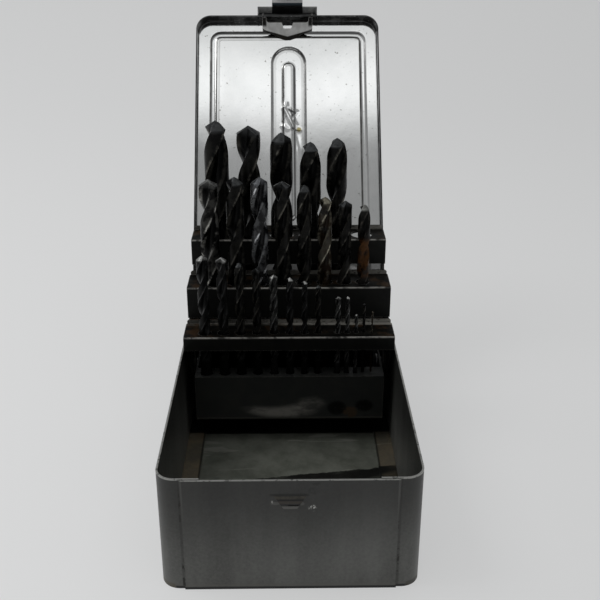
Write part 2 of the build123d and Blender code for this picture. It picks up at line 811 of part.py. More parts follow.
with BuildPart() as lock_rivet:
    with BuildSketch(Plane.XY):
        with BuildLine():
            Polyline(
                (trough_inner_x - lock_head_height, 0),
                (trough_inner_x - lock_head_height, lock_head_radius * head_crown_share),
                (trough_inner_x - lock_head_height / 2, lock_head_radius * head_shoulder_share),
                (trough_inner_x, lock_head_radius * head_shoulder_share),
                (trough_inner_x, lock_radius),
                (trough_end_x, lock_radius),
                (trough_end_x, lock_collar_radius),
                (back_arm_x - rack_sheet, lock_collar_radius),
                (back_arm_x - rack_sheet, lock_radius),
                (back_arm_x, lock_radius),
                (back_arm_x, lock_collar_radius),
                (middle_arm_x - rack_sheet, lock_collar_radius),
                (middle_arm_x - rack_sheet, lock_radius),
                (front_arm_x, lock_radius),
                (front_arm_x, 0),
                close=True,
            )
        make_face()
    revolve(axis=Axis.X)
with BuildPart() as rack_rivets:
    with Locations((0, lock_y, lock_z)):
        add(lock_rivet.part)
    mirror(about=Plane.YZ)
rack_rivets.part.label = "rack_rivets"
export_step(rack_rivets.part, "parts/rack_rivets.step")


# ------------------------------------------------------------------ drills
def flute_outline(radius):
    """Half-turn symmetric section: two lands and two hollow flutes."""
    points = []
    for half_turn in (0, math.pi):
        for degrees, share in section_points:
            angle = half_turn + math.radians(degrees)
            points.append((radius * share * math.cos(angle), radius * share * math.sin(angle)))
    return points


def make_drill(diameter, place_x, place_y, low, tip):
    """A round shank, two helical flutes and a ground point, standing upright."""
    radius = diameter / 2
    flute = (tip - low) * flute_share
    flute_low = tip - flute
    body_top = tip - radius / math.tan(math.radians(point_angle / 2))
    lead = math.pi * diameter / math.tan(math.radians(helix_angle))
    steps = max(4, math.ceil((body_top - flute_low) / lead * steps_per_turn))
    with BuildPart() as drill:
        with BuildSketch(Plane((place_x, place_y, low))):
            Circle(radius)
        extrude(amount=tip - low - flute)
        chamfer(drill.faces().sort_by(Axis.Z)[0].edges(), radius * shank_chamfer_share)
        for step in range(steps + 1):
            up = flute_low + (body_top - flute_low) * step / steps
            turn = 2 * math.pi * (up - flute_low) / lead
            across = (math.cos(turn), math.sin(turn), 0)
            with BuildSketch(Plane((place_x, place_y, up), x_dir=across, z_dir=(0, 0, 1))):
                Polygon(*flute_outline(radius), align=None)
        with BuildSketch(Plane((place_x, place_y, tip), x_dir=across, z_dir=(0, 0, 1))):
            Polygon(*flute_outline(radius * chisel_share), align=None)
        loft(ruled=True)
    return drill.part


ramped_rows = (
    (middle_drills, middle_row_y, middle_ramp_low, middle_ramp_high),
    (front_drills[:-ledge_drills], front_row_y, front_ramp_low, front_ramp_high),
)
level_rows = (
    (back_drills, back_row_y, trough_floor_z),
    (front_drills[-ledge_drills:], front_row_y, ledge_z),
)
standing_drills = []
for drills, row_y, floor_z in level_rows:
    for name, diameter, place, tip in drills:
        place_x = place * row_spread
        low = floor_z + rest_gap
        standing_drills.append((name, make_drill(diameter, place_x, row_y, low, tip)))
for drills, row_y, ramp_low, ramp_high in ramped_rows:
    for name, diameter, place, tip in drills:
        place_x = place * row_spread
        low = ramp_height(place_x + diameter / 2, ramp_low, ramp_high) + rest_gap
        standing_drills.append((name, make_drill(diameter, place_x, row_y, low, tip)))
for name, drill in standing_drills:
    drill.label = name
    export_step(drill, f"parts/{name}.step")
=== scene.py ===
import math

import bpy
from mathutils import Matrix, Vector


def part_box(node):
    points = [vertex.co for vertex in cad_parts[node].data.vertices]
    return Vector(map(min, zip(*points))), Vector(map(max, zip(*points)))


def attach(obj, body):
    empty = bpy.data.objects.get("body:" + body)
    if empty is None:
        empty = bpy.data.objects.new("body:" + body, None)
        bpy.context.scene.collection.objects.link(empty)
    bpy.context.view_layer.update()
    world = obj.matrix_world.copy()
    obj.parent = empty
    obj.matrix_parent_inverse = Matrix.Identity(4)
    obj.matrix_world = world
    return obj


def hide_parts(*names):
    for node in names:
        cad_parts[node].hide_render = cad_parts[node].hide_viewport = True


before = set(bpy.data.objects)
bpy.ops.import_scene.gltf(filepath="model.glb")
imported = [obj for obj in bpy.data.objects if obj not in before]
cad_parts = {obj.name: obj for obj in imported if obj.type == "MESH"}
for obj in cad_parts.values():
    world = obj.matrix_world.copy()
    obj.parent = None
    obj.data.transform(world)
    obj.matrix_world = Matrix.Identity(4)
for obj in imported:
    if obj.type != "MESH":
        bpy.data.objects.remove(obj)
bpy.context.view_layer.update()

MM = 0.001

# Sizes of the case, in millimetres, as the solids have them.
CASE_W = 112.0
CASE_L = 176.5
SHEET = 0.8
CORNER = 9.0
FRONT = -CASE_L / 2
HINGE_GAP = 2.3
HINGE_Y = CASE_L / 2 + HINGE_GAP
HINGE_Z = 56.45
OPEN = math.radians(123.8)
LID_RIM = 0.15
LID_TOP = 7.15
LID_MIDDLE = -CASE_L / 2 - HINGE_GAP

# The lid's pressed bead: its distance from the edge, width, shift to the right and depth.
BEAD_IN, BEAD_W, BEAD_X, RISE = 8.2, 3.5, 0.4, 0.6
BEAD_CORNER = 4.5
# The lid's long rib and the narrower one inside it: shift, width, length, inner width, start and step.
RIB_X, RIB_W, RIB_L, RIB_IN, RIB_AT, RIB_STEP = 0.6, 20.2, 119.4, 6.8, 18.6, 9.9
RIB_RISE, RIB_SLOPE = 0.95, 1.3
INNER_DROP, INNER_SLOPE = 1.35, 1.9
MOST_RISE = 1.15

# A crumpled place in the rib: each fold's two ends, its depth and its reach.
FOLDS = (
    (-2.6, 57.6, 3.0, 69.6, -0.55, 0.75),
    (-0.4, 57.2, 5.0, 68.6, 0.50, 0.75),
    (-2.4, 56.8, 4.6, 60.2, -0.45, 0.7),
    (5.2, 60.0, 2.6, 64.2, 0.35, 0.8),
    (3.0, 70.6, 7.0, 71.6, -0.40, 0.8),
    (-3.2, 69.0, -0.4, 71.4, -0.30, 0.9),
    (6.6, 78.0, 8.0, 86.0, -0.22, 0.9),
    (3.8, 76.0, 6.0, 82.0, 0.20, 0.8),
)

# The three racks: how far back each lip stands, and the height of its pale part, painted highlight and rubbed
# paint.
LIP_FEET = (FRONT + 131.6, FRONT + 151.4, FRONT + 167.6)
LIP_HEIGHTS = (66.0, 86.0, 106.0)


def lid_point(x, y, z):
    """From the closed lid's frame, about the hinge, to the open lid in the row's frame."""
    c, s = math.cos(OPEN), math.sin(OPEN)
    return Vector((x, HINGE_Y + y * c + z * s, HINGE_Z - y * s + z * c)) * MM


# ------------------------------------------------------------------ nodes
class Mat:
    """A small helper that builds a node material. Its x, y and z are in millimetres."""

    def __init__(self, name):
        self.mat = bpy.data.materials.new(name)
        self.mat.use_nodes = True
        self.tree = self.mat.node_tree
        self.bsdf = self.tree.nodes["Principled BSDF"]
        self.coord = self.node("ShaderNodeTexCoord").outputs["Object"]
        scaled = self.node("ShaderNodeVectorMath")
        scaled.operation = "SCALE"
        scaled.inputs["Scale"].default_value = 1.0 / MM
        self.link(self.coord, scaled.inputs[0])
        parts = self.node("ShaderNodeSeparateXYZ")
        self.link(scaled.outputs["Vector"], parts.inputs[0])
        self.x, self.y, self.z = parts.outputs

    def node(self, kind):
        return self.tree.nodes.new(kind)

    def link(self, a, b):
        self.tree.links.new(a, b)

    def fill(self, socket, value):
        """Gives a socket another node's output, a colour or a number."""
        if isinstance(value, (tuple, list)):
            socket.default_value = (*value, 1.0)
        elif isinstance(value, (int, float)):
            socket.default_value = value
        else:
            self.link(value, socket)

    def noise(self, scale, detail=4.0, rough=0.6, stretch=None, distort=0.0):
        made = self.node("ShaderNodeTexNoise")
        made.inputs["Scale"].default_value = scale
        made.inputs["Detail"].default_value = detail
        made.inputs["Roughness"].default_value = rough
        made.inputs["Distortion"].default_value = distort
        source = self.coord
        if stretch:
            mapping = self.node("ShaderNodeMapping")
            mapping.inputs["Scale"].default_value = stretch
            self.link(self.coord, mapping.inputs["Vector"])
            source = mapping.outputs["Vector"]
        self.link(source, made.inputs["Vector"])
        return made.outputs["Fac"]

    def ramp(self, source, low, high):
        """From one tone to another, each given with its place between 0 and 1."""
        made = self.node("ShaderNodeValToRGB")
        made.color_ramp.interpolation = "EASE"
        for point, (place, tone) in zip(made.color_ramp.elements, (low, high)):
            point.position = place
            if isinstance(tone, (int, float)):
                tone = (tone, tone, tone)
            point.color = (*tone, 1.0)
        self.link(source, made.inputs["Fac"])
        return made.outputs["Color"]

    def patches(self, scale, low, high, detail=4.0, rough=0.6, **more):
        """Noise turned into tones by a ramp."""
        return self.ramp(self.noise(scale, detail, rough, **more), low, high)

    def mix(self, factor, a, b, kind="MIX"):
        made = self.node("ShaderNodeMix")
        made.data_type = "RGBA"
        made.blend_type = kind
        for socket, value in ((made.inputs[0], factor), (made.inputs[6], a), (made.inputs[7], b)):
            self.fill(socket, value)
        return made.outputs[2]

    def math(self, kind, a, b=None, clamp=False):
        made = self.node("ShaderNodeMath")
        made.operation = kind
        made.use_clamp = clamp
        for socket, value in zip(made.inputs, (a, b)):
            if value is not None:
                self.fill(socket, value)
        return made.outputs[0]

    def size(self, value):
        return self.math("ABSOLUTE", value)

    def minus(self, a, b, clamp=False):
        return self.math("SUBTRACT", a, b, clamp)

    def both(self, first, *others):
        """The product of some masks."""
        for other in others:
            first = self.math("MULTIPLY", first, other)
        return first

    def either(self, first, *others):
        """The largest of some masks."""
        for other in others:
            first = self.math("MAXIMUM", first, other)
        return first

    def attribute(self, name):
        made = self.node("ShaderNodeAttribute")
        made.attribute_name = name
        return made.outputs["Fac"]

    def step(self, value, low, high):
        """0 below low and 1 above high, or the other way round if low is the larger."""
        made = self.node("ShaderNodeMapRange")
        made.interpolation_type = "SMOOTHSTEP"
        made.clamp = True
        self.link(value, made.inputs["Value"])
        made.inputs["From Min"].default_value = min(low, high)
        made.inputs["From Max"].default_value = max(low, high)
        made.inputs["To Min"].default_value = 0.0 if low < high else 1.0
        made.inputs["To Max"].default_value = 1.0 if low < high else 0.0
        return made.outputs["Result"]

    def near(self, value, places, reach):
        """1 at each of some places, falling to 0 a short way off."""
        hits = [self.step(self.size(self.minus(value, place)), reach, reach * 0.4) for place in places]
        return self.either(*hits)

    def spot(self, centre, reach_x, reach_z):
        """A soft round patch on an upright face."""
        across = self.math("DIVIDE", self.minus(self.x, centre[0]), reach_x)
        up = self.math("DIVIDE", self.minus(self.z, centre[2]), reach_z)
        away = self.math("ADD", self.both(across, across), self.both(up, up))
        depth = self.size(self.minus(self.y, centre[1]))
        return self.both(self.step(away, 1.0, 0.35), self.step(depth, 3.5, 3.0))

    def edge(self, radius=0.6):
        """A mask that is 1 along sharp edges, from the bevelled normal."""
        bevel = self.node("ShaderNodeBevel")
        bevel.samples = 4
        bevel.inputs["Radius"].default_value = radius * MM
        geometry = self.node("ShaderNodeNewGeometry")
        dot = self.node("ShaderNodeVectorMath")
        dot.operation = "DOT_PRODUCT"
        self.link(bevel.outputs["Normal"], dot.inputs[0])
        self.link(geometry.outputs["Normal"], dot.inputs[1])
        return self.ramp(self.minus(1.0, dot.outputs["Value"]), (0.02, 0.0), (0.12, 1.0))

    def normal_z(self):
        geometry = self.node("ShaderNodeNewGeometry")
        parts = self.node("ShaderNodeSeparateXYZ")
        self.link(geometry.outputs["True Normal"], parts.inputs[0])
        return parts.outputs[2]

    def bump(self, height, strength, distance=0.1):
        made = self.node("ShaderNodeBump")
        made.inputs["Strength"].default_value = strength
        made.inputs["Distance"].default_value = distance * MM
        self.link(height, made.inputs["Height"])
        self.link(made.outputs["Normal"], self.bsdf.inputs["Normal"])

    def surface(self, colour, metal, rough, specular=None):
        self.fill(self.bsdf.inputs["Base Color"], colour)
        self.fill(self.bsdf.inputs["Metallic"], metal)
        self.fill(self.bsdf.inputs["Roughness"], rough)
        if specular is not None:
            self.fill(self.bsdf.inputs["Specular IOR Level"], specular)


# -------------------------------------------------------------- the tray
def grey_paint(m):
    """Grey paint with a fine grain, soft clouds and faint upright streaks."""
    fine = m.noise(900.0, 3.0)
    base = m.ramp(fine, (0.3, (0.032, 0.0325, 0.031)), (0.7, (0.066, 0.067, 0.064)))
    clouds = m.patches(22.0, (0.35, (0.022, 0.022, 0.020)), (0.65, (0.075, 0.076, 0.073)), 5.0)
    streaks = m.patches(
        60.0, (0.35, (0.026, 0.026, 0.024)), (0.7, (0.078, 0.078, 0.075)), 5.0, stretch=(1.0, 1.0, 0.1)
    )
    return fine, m.mix(0.35, m.mix(0.4, base, clouds), streaks)


def oil_patch(m):
    """An oily patch along the front of the floor, with a ragged slanting edge."""
    reach_back, slant = FRONT + 83.6, 0.14
    ragged = m.both(m.minus(m.noise(260.0, rough=0.7), 0.5), 4.0)
    border = m.math("ADD", m.both(m.x, slant), reach_back)
    past = m.minus(m.math("ADD", border, ragged), m.y)
    faded = m.patches(90.0, (0.35, 0.6), (0.6, 1.0), stretch=(0.4, 1.0, 1.0))
    return m.both(m.step(past, 0.0, 0.8), m.step(m.x, -24.0, -14.0), faded)


def floor_paint(m):
    """The tray's floor: greenish, brown in its side strips, oily at the front, with a painted shadow at the
    back under the racks.
    """
    crease_x, rack_shadow_y = 46.8, FRONT + 122.8
    green = m.patches(70.0, (0.3, (0.090, 0.096, 0.078)), (0.7, (0.165, 0.172, 0.146)), 5.0, 0.65)
    brown = m.patches(55.0, (0.35, (0.100, 0.092, 0.070)), (0.7, (0.180, 0.145, 0.096)), 5.0, 0.65)
    side = m.size(m.x)
    shade = m.mix(m.step(side, crease_x - 0.6, crease_x + 0.4), green, brown)
    scratch = m.patches(150.0, (0.60, 0.0), (0.66, 1.0), 3.0, 0.5, stretch=(0.12, 1.0, 1.0), distort=1.5)
    shade = m.mix(m.both(scratch, 0.5), shade, (0.27, 0.27, 0.24))
    shade = m.mix(m.both(m.near(side, (crease_x,), 0.7), 0.8), shade, (0.008, 0.008, 0.006))
    # Painted shadow of the trough and racks over the back of the floor.
    shade = m.mix(m.step(m.y, rack_shadow_y, rack_shadow_y + 1.6), shade, (0.004, 0.004, 0.004))
    return m.mix(oil_patch(m), shade, (0.004, 0.004, 0.003))


def fold_highlight_and_shadow(m, shade, outdoors):
    """A painted highlight along the fold at the foot, and a painted shadow in the gap below it."""
    fold = m.both(m.near(m.z, (2.1,), 0.7), outdoors, 0.6)
    shade = m.mix(fold, shade, (0.14, 0.135, 0.12))
    return m.mix(m.both(m.step(m.z, 1.5, 1.1), outdoors), shade, (0.003, 0.003, 0.003))


def seam_grime(m, shade, outdoors):
    """Dark rust in the two seams of the front and the back, and a pale line on the fold beside each: painted
    highlight, partly worn paint.
    """
    seam_x, fold_x = 45.8, 45.0
    side = m.size(m.x)
    spots = m.patches(210.0, (0.52, 0.35), (0.60, 1.0), rough=0.7)
    # Painted highlight, partly worn paint, on the upper part of each fold.
    fold = m.both(m.near(side, (fold_x,), 0.6), m.step(m.z, 30.0, 50.0), outdoors, 0.35)
    shade = m.mix(fold, shade, (0.15, 0.15, 0.14))
    return m.mix(m.both(m.near(side, (seam_x,), 0.9), spots, outdoors), shade, (0.014, 0.012, 0.009))


def nose_paint(m, shade, outdoors):
    """The latch nose: oily along its top, brown on its slope, bare along its lower edge, with painted
    highlights low on its front.
    """
    nose_x, top, bend, slot, foot = -0.4, 48.8, 47.5, 46.4, 44.9
    across = m.size(m.minus(m.x, nose_x))
    oil = m.both(m.step(across, 8.8, 7.4), m.near(m.z, (top,), 0.9), outdoors, 0.9)
    shade = m.mix(oil, shade, (0.008, 0.0075, 0.006))
    # Painted highlights: two soft pale spots low on the nose's front.
    gleam = m.either(m.spot((-6.2, FRONT, 44.6), 2.4, 0.9), m.spot((4.8, FRONT, 44.4), 1.3, 1.0))
    shade = m.mix(m.both(gleam, 0.4), shade, (0.17, 0.17, 0.155))
    slope = m.patches(420.0, (0.35, (0.010, 0.009, 0.007)), (0.6, (0.052, 0.046, 0.034)))
    nose = m.mix(m.step(m.z, bend, bend - 0.3), slope, (0.004, 0.0035, 0.003))
    nose = m.mix(m.near(m.z, (slot,), 0.6), nose, (0.040, 0.034, 0.027))
    nose = m.mix(m.step(m.z, foot, foot - 0.2), nose, (0.11, 0.108, 0.10))
    proud = m.step(m.y, FRONT - 0.05, FRONT - 0.3)
    return m.mix(proud, shade, nose)


def tray_paint():
    m = Mat("tray_paint")
    fine, shade = grey_paint(m)
    inside = m.step(m.y, FRONT + 0.9, FRONT + 1.2)
    outdoors = m.minus(1.0, inside)
    # Painted light on the outside: darker under the rim and lighter towards the bottom.
    shaded_top, lit_bottom = (0.62, 0.62, 0.60), (2.55, 2.55, 2.5)
    shade = m.mix(1.0, shade, m.mix(m.step(m.z, 54.5, 4.0), shaded_top, lit_bottom), "MULTIPLY")
    shade = fold_highlight_and_shadow(m, shade, outdoors)
    shade = m.mix(m.both(m.step(m.z, 3.0, 1.6), inside), shade, floor_paint(m))
    # Bare metal along the rims, with dark specks left in it.
    rim = m.both(m.step(m.z, 55.6, 55.9), m.patches(420.0, (0.36, 0.15), (0.46, 1.0), 3.0), 0.8)
    worn = m.patches(190.0, (0.40, 0.0), (0.52, 1.0), rough=0.65)
    edges = m.both(m.edge(0.5), worn, m.step(m.z, 40.0, 56.0), 0.35)
    bare = m.either(edges, rim)
    shade = m.mix(bare, shade, (0.42, 0.42, 0.40))
    shade = seam_grime(m, shade, outdoors)
    # Chips and dark spots round the nose.
    chips = m.either(m.spot((9.2, FRONT, 42.2), 2.0, 1.9), m.spot((-7.6, FRONT, 45.2), 0.5, 1.2))
    chips = m.both(chips, m.patches(900.0, (0.50, 0.0), (0.58, 1.0), 3.0, 0.7))
    shade = m.mix(chips, shade, (0.45, 0.45, 0.43))
    dark = m.either(m.spot((10.8, FRONT, 54.2), 2.3, 1.1), m.both(m.spot((9.8, FRONT, 50.8), 3.0, 2.2), 0.7))
    dark = m.both(dark, m.patches(380.0, (0.40, 0.2), (0.56, 1.0), rough=0.7))
    shade = m.mix(dark, shade, (0.010, 0.010, 0.009))
    shade = nose_paint(m, shade, outdoors)
    metal = m.ramp(m.either(bare, chips), (0.0, 0.15), (1.0, 0.9))
    m.surface(shade, metal, m.ramp(fine, (0.2, 0.36), (0.8, 0.52)))
    m.bump(m.noise(1400.0, 2.0, 0.5), 0.25)
    return m.mat


# --------------------------------------------------------------- the lid
def lid_crease_dirt_and_shade(m):
    """Dirt and painted shade in the corners of the pressed bead and of the two ribs, stronger on one side."""
    bead, rib, inner = (m.attribute(name) for name in ("bead", "rib", "rib_inner"))
    right = m.step(m.x, -1.0, 1.0)
    # Each line: the distance it follows, its place and reach, and its strength left and right.
    lines_of_dirt_and_shade = (
        (bead, 1.75, 0.85, 0.80, 0.35),
        (bead, -1.75, 0.85, 0.74, 0.90),
        (bead, -3.4, 0.7, 0.35, 0.0),
        (rib, 0.2, 0.9, 0.50, 0.70),
        (rib, -1.3, 1.5, 0.22, 0.30),
        (inner, 0.1, 1.0, 0.85, 0.45),
        (inner, -1.6, 0.8, 0.10, 0.50),
    )
    marks = [
        m.both(m.near(value, (place,), reach), m.ramp(right, (0.0, at_left), (1.0, at_right)))
        for value, place, reach, at_left, at_right in lines_of_dirt_and_shade
    ]
    patchy = m.patches(150.0, (0.3, 0.75), (0.6, 1.0))
    return m.both(m.either(*marks), patchy)


def lid_tin():
    """Bright tin inside the lid, grey paint outside it."""
    m = Mat("lid_tin")
    inside = m.attribute("inside")
    paint = grey_paint(m)[1]
    tin = m.patches(30.0, (0.3, (0.69, 0.695, 0.69)), (0.7, (0.76, 0.76, 0.755)), 6.0, distort=0.6)
    spots = m.patches(620.0, (0.69, 0.0), (0.74, 1.0), 2.0, 0.5)
    tin = m.mix(m.both(spots, 0.8), tin, (0.16, 0.155, 0.13))
    # Dark lines along the bead and ribs: dirt and painted shade.
    tin = m.mix(lid_crease_dirt_and_shade(m), tin, (0.05, 0.048, 0.042))
    # Grime along the rim; grime and painted shade over the end by the hinge, where the tin lies behind the
    # racks.
    grime = m.both(m.attribute("grime"), m.patches(120.0, (0.3, 0.8), (0.6, 1.0)))
    specks = m.patches(800.0, (0.70, 1.0), (0.75, 0.4), 2.0, 0.5)
    tin = m.mix(m.both(grime, specks), tin, (0.005, 0.0048, 0.0045))
    tin = m.mix(m.attribute("yellow"), tin, (0.42, 0.36, 0.16))
    paint = m.mix(grime, paint, (0.006, 0.006, 0.0065))
    metal = m.both(inside, m.ramp(grime, (0.0, 1.0), (1.0, 0.3)))
    smear = m.patches(18.0, (0.3, 0.07), (0.7, 0.115), stretch=(2.4, 0.6, 0.6))
    m.surface(m.mix(inside, paint, tin), metal, m.mix(inside, (0.5, 0.5, 0.5), smear))
    m.bump(m.noise(160.0, 5.0), 0.05, 0.2)
    return m.mat


# ------------------------------------------------------------- the racks
def lip_highlights_and_wear(m, facing):
    """Pale lips behind the rows, most of all towards the right: painted highlight along their bends, partly
    rubbed paint.
    """
    lip = m.both(m.near(m.y, LIP_FEET, 2.0), m.near(m.z, LIP_HEIGHTS, 1.6), m.step(facing, 0.9, 0.6))
    lip = m.both(lip, m.patches(230.0, (0.38, 0.15), (0.5, 1.0), 5.0, 0.7))
    lip = m.both(lip, m.ramp(m.step(m.x, -35.0, 20.0), (0.0, 0.35), (1.0, 1.0)))
    # The same pale paint, painted highlight and rubbed paint, on the rear strip of the front tread.
    strip = m.both(m.near(m.y, (LIP_FEET[0] - 1.4,), 2.0), m.near(m.z, (LIP_HEIGHTS[0] - 0.8,), 1.4))
    strip = m.both(strip, m.patches(210.0, (0.36, 0.2), (0.54, 1.0), 5.0, 0.7))
    strip = m.both(strip, m.ramp(m.step(m.x, -12.0, 6.0), (0.0, 0.16), (1.0, 0.62)))
    return m.either(lip, strip)


def rack_paint():
    """Black paint, dull and stained on the treads, bare along the bends."""
    m = Mat("rack_paint")
    facing = m.normal_z()
    tread = m.step(facing, 0.85, 0.97)
    dust = m.patches(140.0, (0.4, 0.0), (0.72, 1.0), 6.0, 0.65)
    black = m.mix(m.both(dust, 0.3), (0.0062, 0.0066, 0.0060), (0.016, 0.015, 0.012))
    dull = m.mix(dust, (0.0025, 0.0025, 0.0022), (0.012, 0.011, 0.009))
    stain = m.patches(85.0, (0.52, 0.0), (0.66, 1.0))
    dull = m.mix(m.both(stain, 0.6), dull, (0.050, 0.028, 0.014))
    base = m.mix(lip_highlights_and_wear(m, facing), m.mix(tread, black, dull), (0.30, 0.29, 0.26))
    bend = m.both(m.step(facing, 0.25, 0.55), m.step(facing, 0.98, 0.93))
    bare = m.both(m.either(m.edge(), bend), m.patches(240.0, (0.34, 0.1), (0.56, 1.0)))
    shade = m.mix(m.both(bare, 0.65), base, (0.30, 0.29, 0.27))
    m.surface(
        shade,
        m.ramp(bare, (0.0, 0.0), (1.0, 0.8)),
        m.patches(300.0, (0.3, 0.36), (0.7, 0.55)),
        m.ramp(tread, (0.0, 0.14), (1.0, 0.04)),
    )
    m.bump(m.noise(700.0, 3.0, 0.5), 0.15)
    return m.mat


def trough_paint():
    """Dark paint with a pale smear, two black blots and a brown one on the front panel, and a painted
    highlight along its lower edge.
    """
    m = Mat("trough_paint")
    panel_y, low_edge = FRONT + 115.0, 15.8
    dust = m.patches(120.0, (0.4, 0.0), (0.72, 1.0), 6.0, 0.65)
    base = m.mix(m.both(dust, 0.4), (0.021, 0.0222, 0.0212), (0.036, 0.0355, 0.030))
    # The smear is what one round patch leaves free of another.
    round_patch = m.spot((-3.5, panel_y, 24.0), 25.0, 9.0)
    cover = m.spot((-11.0, panel_y, 30.0), 26.0, 9.5)
    streaky = m.patches(130.0, (0.36, 0.2), (0.56, 1.0), 5.0, 0.65, stretch=(0.4, 1.0, 1.0))
    smear = m.both(m.minus(round_patch, cover, clamp=True), streaky)
    base = m.mix(m.both(smear, 0.9), base, (0.22, 0.21, 0.19))
    # Painted highlight along the panel's lower edge.
    line = m.both(m.near(m.z, (low_edge,), 1.1), m.step(m.y, panel_y + 2.0, panel_y + 1.0), 0.6)
    base = m.mix(line, base, (0.10, 0.10, 0.09))
    blots = m.either(m.spot((25.4, panel_y, 21.9), 6.0, 5.0), m.spot((40.0, panel_y, 23.4), 5.6, 4.2))
    blots = m.both(blots, m.patches(260.0, (0.36, 0.0), (0.46, 1.0), rough=0.65))
    base = m.mix(blots, base, (0.0015, 0.0014, 0.0012))
    brown = m.both(m.spot((32.5, panel_y, 19.3), 4.5, 4.5), m.patches(200.0, (0.45, 0.0), (0.6, 1.0)), 0.8)
    base = m.mix(brown, base, (0.055, 0.034, 0.018))
    bare = m.both(m.edge(0.5), m.patches(240.0, (0.42, 0.0), (0.6, 0.5)))
    m.surface(
        m.mix(bare, base, (0.2, 0.19, 0.17)),
        m.ramp(bare, (0.0, 0.0), (1.0, 0.7)),
        m.patches(300.0, (0.3, 0.34), (0.7, 0.5)),
        0.25,
    )
    m.bump(m.noise(500.0, 3.0, 0.5), 0.15)
    return m.mat


# ----------------------------------------------- hinge, rivets and latch
def faded(tone, share):
    return tuple(part * share for part in tone)


def plain_steel(name, tone, rough, metal=0.9):
    m = Mat(name)
    base = m.patches(220.0, (0.3, faded(tone, 0.7)), (0.7, tone), 5.0)
    stain = m.patches(90.0, (0.55, 0.0), (0.7, 1.0), 5.0, 0.7)
    base = m.mix(m.both(stain, 0.3), base, faded(tone, 0.3))
    bare = m.both(m.edge(0.4), m.patches(300.0, (0.35, 0.1), (0.55, 1.0)), 0.6)
    roughness = m.patches(400.0, (0.3, rough * 0.8), (0.7, rough * 1.3), 3.0)
    m.surface(m.mix(bare, base, (0.45, 0.45, 0.43)), metal, roughness)
    m.bump(m.noise(900.0, 3.0, 0.5), 0.1)
    return m.mat


def lever_steel():
    """Dark in the middle strap, partly painted shade; a painted highlight where it bends up, a bluish band
    and then a pale crest; grey and dull on the two shoulders.
    """
    m = Mat("lever_steel")
    strap_half, foot, bend, crest, top = 9.3, 205.2, 210.0, 212.1, 217.0
    above_foot = m.step(m.z, foot, foot + 1.0)
    shoulder = m.both(m.step(m.size(m.x), strap_half, strap_half + 0.4), above_foot)
    dark = m.patches(220.0, (0.3, (0.002, 0.002, 0.002)), (0.7, (0.006, 0.006, 0.007)), 5.0)
    grey = m.patches(260.0, (0.3, (0.20, 0.20, 0.20)), (0.7, (0.40, 0.40, 0.39)), 5.0)
    # Painted highlight on the strap's bend: a bluish band, then a pale crest.
    strap = m.mix(m.step(m.z, bend, bend + 1.8), dark, (0.035, 0.050, 0.062))
    strap = m.mix(m.step(m.z, crest, crest + 0.5), strap, (0.62, 0.62, 0.62))
    strap = m.mix(m.step(m.z, top, top + 1.0), strap, dark)
    bare = m.both(m.edge(0.4), m.patches(300.0, (0.35, 0.2), (0.5, 1.0)), above_foot)
    shade = m.mix(m.both(bare, 0.5), m.mix(shoulder, strap, grey), (0.4, 0.4, 0.4))
    roughness = m.patches(400.0, (0.3, 0.35), (0.7, 0.5), 3.0)
    m.surface(shade, m.ramp(bare, (0.0, 0.1), (1.0, 0.9)), roughness, 0.25)
    m.bump(m.noise(900.0, 3.0, 0.5), 0.12)
    return m.mat


def bracket_steel():
    """A grey plate with bare edges, a painted shadow in black along its foot, and black on its two horns."""
    m = Mat("bracket_steel")
    foot_z, foot_slope, horn_x, horn_z = 192.6, 0.27, 12.4, 197.5
    side = m.size(m.x)
    grey = m.patches(200.0, (0.3, (0.50, 0.50, 0.49)), (0.7, (0.68, 0.68, 0.67)), 5.0)
    black = m.patches(220.0, (0.4, (0.003, 0.003, 0.003)), (0.7, (0.016, 0.013, 0.008)), 5.0)
    line = m.math("ADD", m.both(side, foot_slope), foot_z)
    # Painted shadow: black along the plate's foot.
    foot = m.step(m.minus(line, m.z), -0.2, 0.4)
    horn = m.both(m.step(side, horn_x, horn_x + 1.0), m.step(m.z, horn_z, horn_z + 2.0))
    bare = m.both(m.edge(0.5), m.patches(300.0, (0.30, 0.4), (0.5, 1.0)))
    bare = m.both(bare, m.minus(1.0, m.both(foot, 0.95)))
    shade = m.mix(m.either(foot, horn), grey, black)
    shade = m.mix(m.both(bare, 0.8), shade, (0.85, 0.83, 0.80))
    roughness = m.patches(400.0, (0.3, 0.4), (0.7, 0.6), 3.0)
    m.surface(shade, m.ramp(bare, (0.0, 0.05), (1.0, 0.6)), roughness, 0.3)
    m.bump(m.noise(900.0, 3.0, 0.5), 0.1)
    return m.mat


# ------------------------------------------------------------ the drills
def drill_steel(name, tone, bright, point, rough=0.3, rust=0.0, metal=0.0, specular=0.1, span=None):
    """Dark steel, bright where it is worn, with a ground point and, if wanted, rust between two heights."""
    m = Mat(name)
    tip = m.attribute("point")
    grain = m.noise(500.0)
    base = m.ramp(grain, (0.3, faded(tone, 0.6)), (0.7, faded(tone, 1.35)))
    wear = m.both(m.attribute("worn"), m.patches(190.0, (0.40, 0.0), (0.60, 1.0), rough=0.65))
    shade = m.mix(wear, base, bright)
    shade = m.mix(tip, shade, m.ramp(grain, (0.3, faded(point, 0.55)), (0.7, point)))
    if rust:
        stain = m.patches(150.0, (0.40, 0.1), (0.58, 1.0), 5.0, 0.7)
        if span:
            low, high = span
            stain = m.both(stain, m.step(m.z, low, low + 4.0), m.step(m.z, high + 4.0, high))
        shade = m.mix(m.both(stain, rust), shade, (0.085, 0.036, 0.012))
    shine = m.ramp(m.either(wear, tip), (0.0, metal), (1.0, 0.85))
    m.surface(shade, shine, m.ramp(grain, (0.25, rough * 0.8), (0.75, rough * 1.25)), specular)
    m.bump(m.noise(1200.0, 2.0, 0.5), 0.08)
    return m.mat


